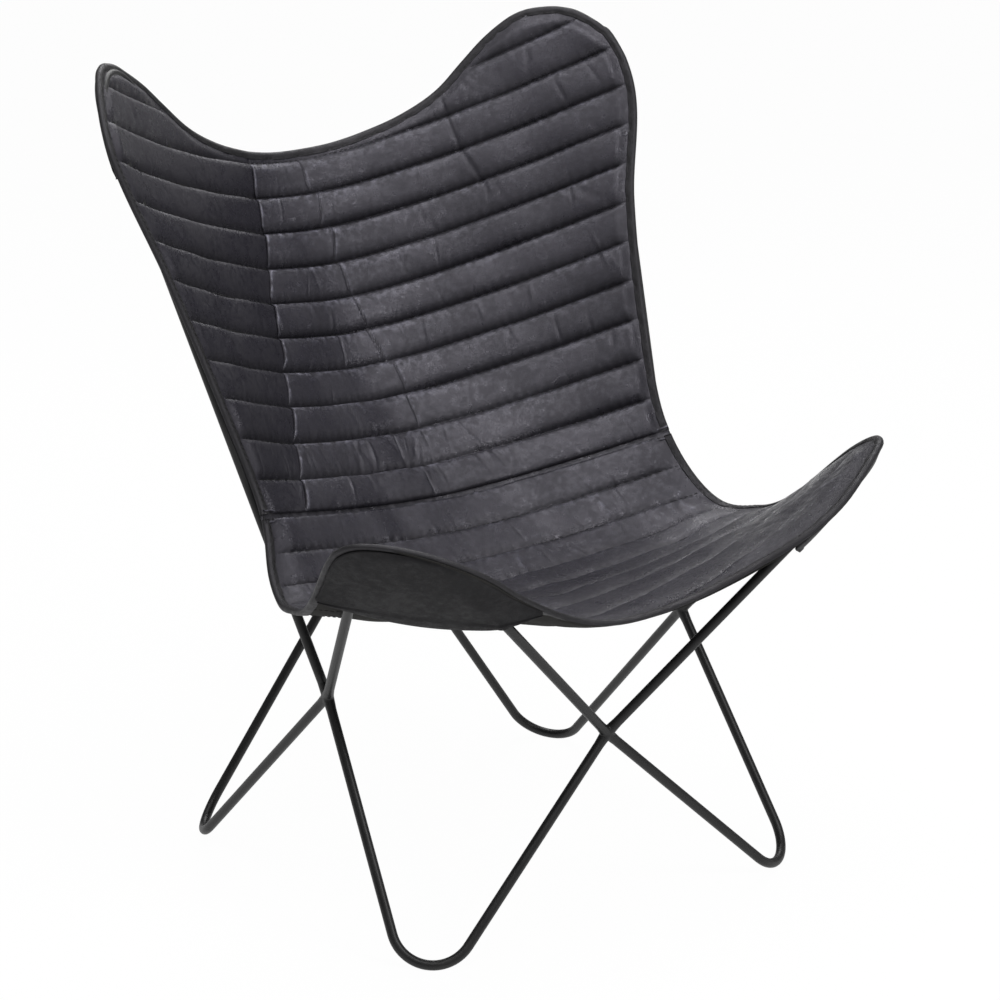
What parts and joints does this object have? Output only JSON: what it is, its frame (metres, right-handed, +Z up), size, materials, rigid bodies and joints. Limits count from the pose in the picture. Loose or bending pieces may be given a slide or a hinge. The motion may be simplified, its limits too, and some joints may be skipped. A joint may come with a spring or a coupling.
{
  "type": "butterfly sling chair",
  "caption": "Low lounge chair: a welded frame of bent steel rod with raised tips at the back and the front carries a quilted leather sling by its corner pockets.",
  "frame": {"origin": "on the floor, under the middle of the whole chair's box", "axes": "+Z up, the sitter faces -Y, +X to the right of someone who stands in front and looks at the back"},
  "size_m": [0.7326, 0.7108, 0.9143],
  "materials": {
    "frame_steel": "satin black powder coat",
    "face_leather": "semi-matte charcoal leather, worn along the folds",
    "binding_leather": "semi-matte black leather strip",
    "pocket_leather": "smooth matte dark leather",
    "lining_cloth": "plain dark woven lining",
    "wadding_fibre": "loose polyester wadding"
  },
  "bodies": {
    "root": {"front_left_foot_rod": "frame_steel", "front_right_foot_rod": "frame_steel", "rear_left_foot_rod": "frame_steel", "rear_right_foot_rod": "frame_steel", "front_left_tip_rod": "frame_steel", "front_right_tip_rod": "frame_steel", "back_left_tip_rod": "frame_steel", "back_right_tip_rod": "frame_steel", "front_weld": "frame_steel", "rear_weld": "frame_steel", "left_weld": "frame_steel", "right_weld": "frame_steel", "back_lining": "lining_cloth", "back_wadding": "wadding_fibre", "back_face": "face_leather", "seat_lining": "lining_cloth", "seat_wadding": "wadding_fibre", "seat_face": "face_leather", "seam_welt": "binding_leather", "back_binding": "binding_leather", "seat_binding": "binding_leather", "back_left_pocket": "pocket_leather", "back_right_pocket": "pocket_leather", "front_left_pocket": "pocket_leather", "front_right_pocket": "pocket_leather"}
  },
  "joints": []
}
